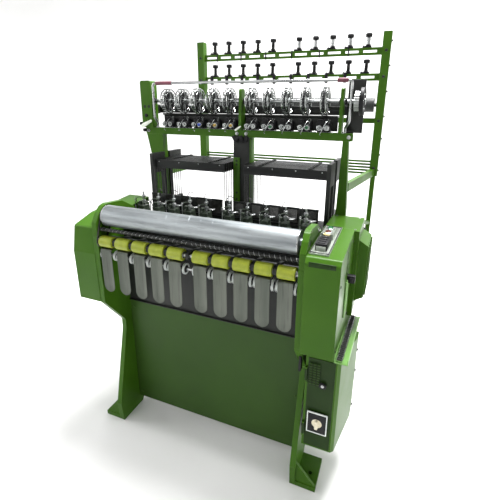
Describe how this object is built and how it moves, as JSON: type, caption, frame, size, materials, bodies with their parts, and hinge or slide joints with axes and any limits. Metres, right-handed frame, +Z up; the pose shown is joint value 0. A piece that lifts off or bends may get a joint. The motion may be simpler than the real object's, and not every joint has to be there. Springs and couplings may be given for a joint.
{
  "type": "narrow fabric needle loom",
  "caption": "Power loom that weaves tapes side by side: side frames, take-up and delivery rollers, weft needles, heald frames, yarn feeder gantry and rear tension rack",
  "frame": {"origin": "on the floor in the middle of the four foot bolt holes", "axes": "+Z up, +X to the machine's right seen from its front, +Y to its back"},
  "size_m": [1.244, 1.1349, 1.944],
  "materials": {
    "green_paint": "gloss enamel",
    "dark_green_paint": "gloss enamel, darker",
    "light_green_paint": "enamel, lighter",
    "black_paint": "satin black",
    "black_aluminium": "black anodised",
    "bright_steel": "ground",
    "emery_cover": "fine emery-covered steel",
    "wheel_steel": "bright plated",
    "chute_steel": "brushed stainless",
    "yellow_rubber": "smooth coating",
    "white_nylon": "moulded",
    "black_plastic": "moulded",
    "head_casting": "oily black casting",
    "motor_paint": "grey enamel",
    "belt_rubber": "belt",
    "panel_steel": "brushed plate",
    "green_plastic": "button",
    "red_plastic": "button",
    "cream_plastic": "knob"
  },
  "bodies": {
    "frame": {"side_frame_left": "green_paint", "side_frame_right": "green_paint", "front_apron": "dark_green_paint", "cross_tubes": "green_paint", "motor_shelf": "dark_green_paint", "drive_motor": "motor_paint", "drive_belt": "belt_rubber", "left_cover": "green_paint", "right_cover": "green_paint", "pattern_housing": "green_paint", "pattern_tray": "light_green_paint", "control_panel": "panel_steel", "electrical_cabinet": "green_paint", "roller_cheeks": "green_paint", "take_up_chain": "bright_steel", "front_rails": "black_paint", "roller_hangers": "black_paint", "fabric_chutes": "chute_steel", "head_beam": "green_paint", "weaving_heads": "head_casting", "heald_guides": "black_paint", "gantry_post_left": "green_paint", "gantry_post_right": "green_paint", "gantry_rail": "green_paint", "centre_column": "black_paint", "feeder_plates": "green_paint", "yarn_brakes": "black_plastic", "guard_tube": "bright_steel", "rear_rack": "green_paint", "rack_tensioners": "black_plastic"},
    "main_drive": {"main_shaft": "bright_steel"},
    "motor_rotor": {"motor_pulley": "bright_steel"},
    "take_up": {"take_up_roller": "emery_cover"},
    "delivery": {"delivery_shaft": "bright_steel", "delivery_rollers": "yellow_rubber"},
    "ring_shaft": {"guide_ring_shaft": "bright_steel", "guide_rings": "white_nylon"},
    "pattern": {"pattern_drum": "bright_steel"},
    "feeder": {"feeder_shaft": "bright_steel", "feeder_wheels": "wheel_steel"},
    "back_feed": {"back_roller": "belt_rubber"},
    "batten": {"reed_batten": "black_aluminium", "reeds": "bright_steel"},
    "latch": {"latch_needle_bar": "bright_steel"},
    "needle_01": {"weft_needle_01": "bright_steel"},
    "needle_02": {"weft_needle_02": "bright_steel"},
    "needle_03": {"weft_needle_03": "bright_steel"},
    "needle_04": {"weft_needle_04": "bright_steel"},
    "needle_05": {"weft_needle_05": "bright_steel"},
    "needle_06": {"weft_needle_06": "bright_steel"},
    "needle_07": {"weft_needle_07": "bright_steel"},
    "needle_08": {"weft_needle_08": "bright_steel"},
    "needle_09": {"weft_needle_09": "bright_steel"},
    "needle_10": {"weft_needle_10": "bright_steel"},
    "heald_odd": {"heald_frames_odd": "black_aluminium"},
    "heald_even": {"heald_frames_even": "black_aluminium"},
    "start": {"start_button": "green_plastic"},
    "stop": {"stop_button": "red_plastic"},
    "door": {"cabinet_door": "dark_green_paint"},
    "switch": {"rotary_switch": "cream_plastic"}
  },
  "joints": [
    {"name": "main_spin", "type": "hinge", "parent": "frame", "child": "main_drive", "pos_m": [0, -0.04, 0.56], "axis": [1, 0, 0], "continuous": true},
    {"name": "motor_spin", "type": "hinge", "parent": "frame", "child": "motor_rotor", "pos_m": [0.3, -0.04, 0.298], "axis": [1, 0, 0], "continuous": true},
    {"name": "take_up_spin", "type": "hinge", "parent": "frame", "child": "take_up", "pos_m": [0, -0.412, 1.1], "axis": [1, 0, 0], "continuous": true},
    {"name": "delivery_spin", "type": "hinge", "parent": "frame", "child": "delivery", "pos_m": [0, -0.46, 0.998], "axis": [1, 0, 0], "continuous": true},
    {"name": "ring_spin", "type": "hinge", "parent": "frame", "child": "ring_shaft", "pos_m": [0, -0.452, 0.936], "axis": [1, 0, 0], "continuous": true},
    {"name": "pattern_spin", "type": "hinge", "parent": "frame", "child": "pattern", "pos_m": [0.53, -0.06, 0.86], "axis": [1, 0, 0], "continuous": true},
    {"name": "feeder_spin", "type": "hinge", "parent": "frame", "child": "feeder", "pos_m": [0, 0.061, 1.586], "axis": [1, 0, 0], "continuous": true},
    {"name": "back_feed_spin", "type": "hinge", "parent": "frame", "child": "back_feed", "pos_m": [0, 0.607, 1.58], "axis": [1, 0, 0], "continuous": true},
    {"name": "batten_swing", "type": "hinge", "parent": "frame", "child": "batten", "pos_m": [0, -0.06, 0.715], "axis": [1, 0, 0], "range_deg": [0, 5.5]},
    {"name": "latch_slide", "type": "slide", "parent": "frame", "child": "latch", "axis": [0, 1, 0], "range_m": [0, 0.02]},
    {"name": "needle_swing_01", "type": "hinge", "parent": "frame", "child": "needle_01", "pos_m": [-0.405, -0.198, 1.12], "axis": [0, 0, 1], "range_deg": [0, 70]},
    {"name": "needle_swing_02", "type": "hinge", "parent": "frame", "child": "needle_02", "pos_m": [-0.319, -0.198, 1.12], "axis": [0, 0, 1], "range_deg": [0, 70]},
    {"name": "needle_swing_03", "type": "hinge", "parent": "frame", "child": "needle_03", "pos_m": [-0.233, -0.198, 1.12], "axis": [0, 0, 1], "range_deg": [0, 70]},
    {"name": "needle_swing_04", "type": "hinge", "parent": "frame", "child": "needle_04", "pos_m": [-0.147, -0.198, 1.12], "axis": [0, 0, 1], "range_deg": [0, 70]},
    {"name": "needle_swing_05", "type": "hinge", "parent": "frame", "child": "needle_05", "pos_m": [-0.061, -0.198, 1.12], "axis": [0, 0, 1], "range_deg": [0, 70]},
    {"name": "needle_swing_06", "type": "hinge", "parent": "frame", "child": "needle_06", "pos_m": [0.053, -0.198, 1.12], "axis": [0, 0, 1], "range_deg": [0, 70]},
    {"name": "needle_swing_07", "type": "hinge", "parent": "frame", "child": "needle_07", "pos_m": [0.139, -0.198, 1.12], "axis": [0, 0, 1], "range_deg": [0, 70]},
    {"name": "needle_swing_08", "type": "hinge", "parent": "frame", "child": "needle_08", "pos_m": [0.225, -0.198, 1.12], "axis": [0, 0, 1], "range_deg": [0, 70]},
    {"name": "needle_swing_09", "type": "hinge", "parent": "frame", "child": "needle_09", "pos_m": [0.311, -0.198, 1.12], "axis": [0, 0, 1], "range_deg": [0, 70]},
    {"name": "needle_swing_10", "type": "hinge", "parent": "frame", "child": "needle_10", "pos_m": [0.397, -0.198, 1.12], "axis": [0, 0, 1], "range_deg": [0, 70]},
    {"name": "heald_odd_lift", "type": "slide", "parent": "frame", "child": "heald_odd", "axis": [0, 0, 1], "range_m": [0, 0.03]},
    {"name": "heald_even_lift", "type": "slide", "parent": "frame", "child": "heald_even", "axis": [0, 0, 1], "range_m": [-0.03, 0]},
    {"name": "start_press", "type": "slide", "parent": "frame", "child": "start", "axis": [0, 0, -1], "range_m": [0, 0.004], "stiffness_N_per_m": 600},
    {"name": "stop_press", "type": "slide", "parent": "frame", "child": "stop", "axis": [0, 0, -1], "range_m": [0, 0.004], "stiffness_N_per_m": 600},
    {"name": "door_swing", "type": "hinge", "parent": "frame", "child": "door", "pos_m": [0.488, -0.4475, 0.45], "axis": [0, 0, -1], "range_deg": [0, 95]},
    {"name": "switch_turn", "type": "hinge", "parent": "door", "child": "switch", "pos_m": [0.543, -0.46, 0.372], "axis": [0, 1, 0], "range_deg": [0, 90]}
  ],
  "couplings": [
    {"joint": "motor_spin", "follows": "main_spin", "ratio": 2.3333},
    {"joint": "take_up_spin", "follows": "main_spin", "ratio": 0.02},
    {"joint": "delivery_spin", "follows": "main_spin", "ratio": 0.033},
    {"joint": "ring_spin", "follows": "main_spin", "ratio": 0.048},
    {"joint": "pattern_spin", "follows": "main_spin", "ratio": 0.125},
    {"joint": "feeder_spin", "follows": "main_spin", "ratio": 0.25},
    {"joint": "back_feed_spin", "follows": "main_spin", "ratio": 0.2},
    {"joint": "heald_even_lift", "follows": "heald_odd_lift", "ratio": -1},
    {"joint": "needle_swing_02", "follows": "needle_swing_01", "ratio": 1},
    {"joint": "needle_swing_03", "follows": "needle_swing_01", "ratio": 1},
    {"joint": "needle_swing_04", "follows": "needle_swing_01", "ratio": 1},
    {"joint": "needle_swing_05", "follows": "needle_swing_01", "ratio": 1},
    {"joint": "needle_swing_06", "follows": "needle_swing_01", "ratio": 1},
    {"joint": "needle_swing_07", "follows": "needle_swing_01", "ratio": 1},
    {"joint": "needle_swing_08", "follows": "needle_swing_01", "ratio": 1},
    {"joint": "needle_swing_09", "follows": "needle_swing_01", "ratio": 1},
    {"joint": "needle_swing_10", "follows": "needle_swing_01", "ratio": 1}
  ]
}
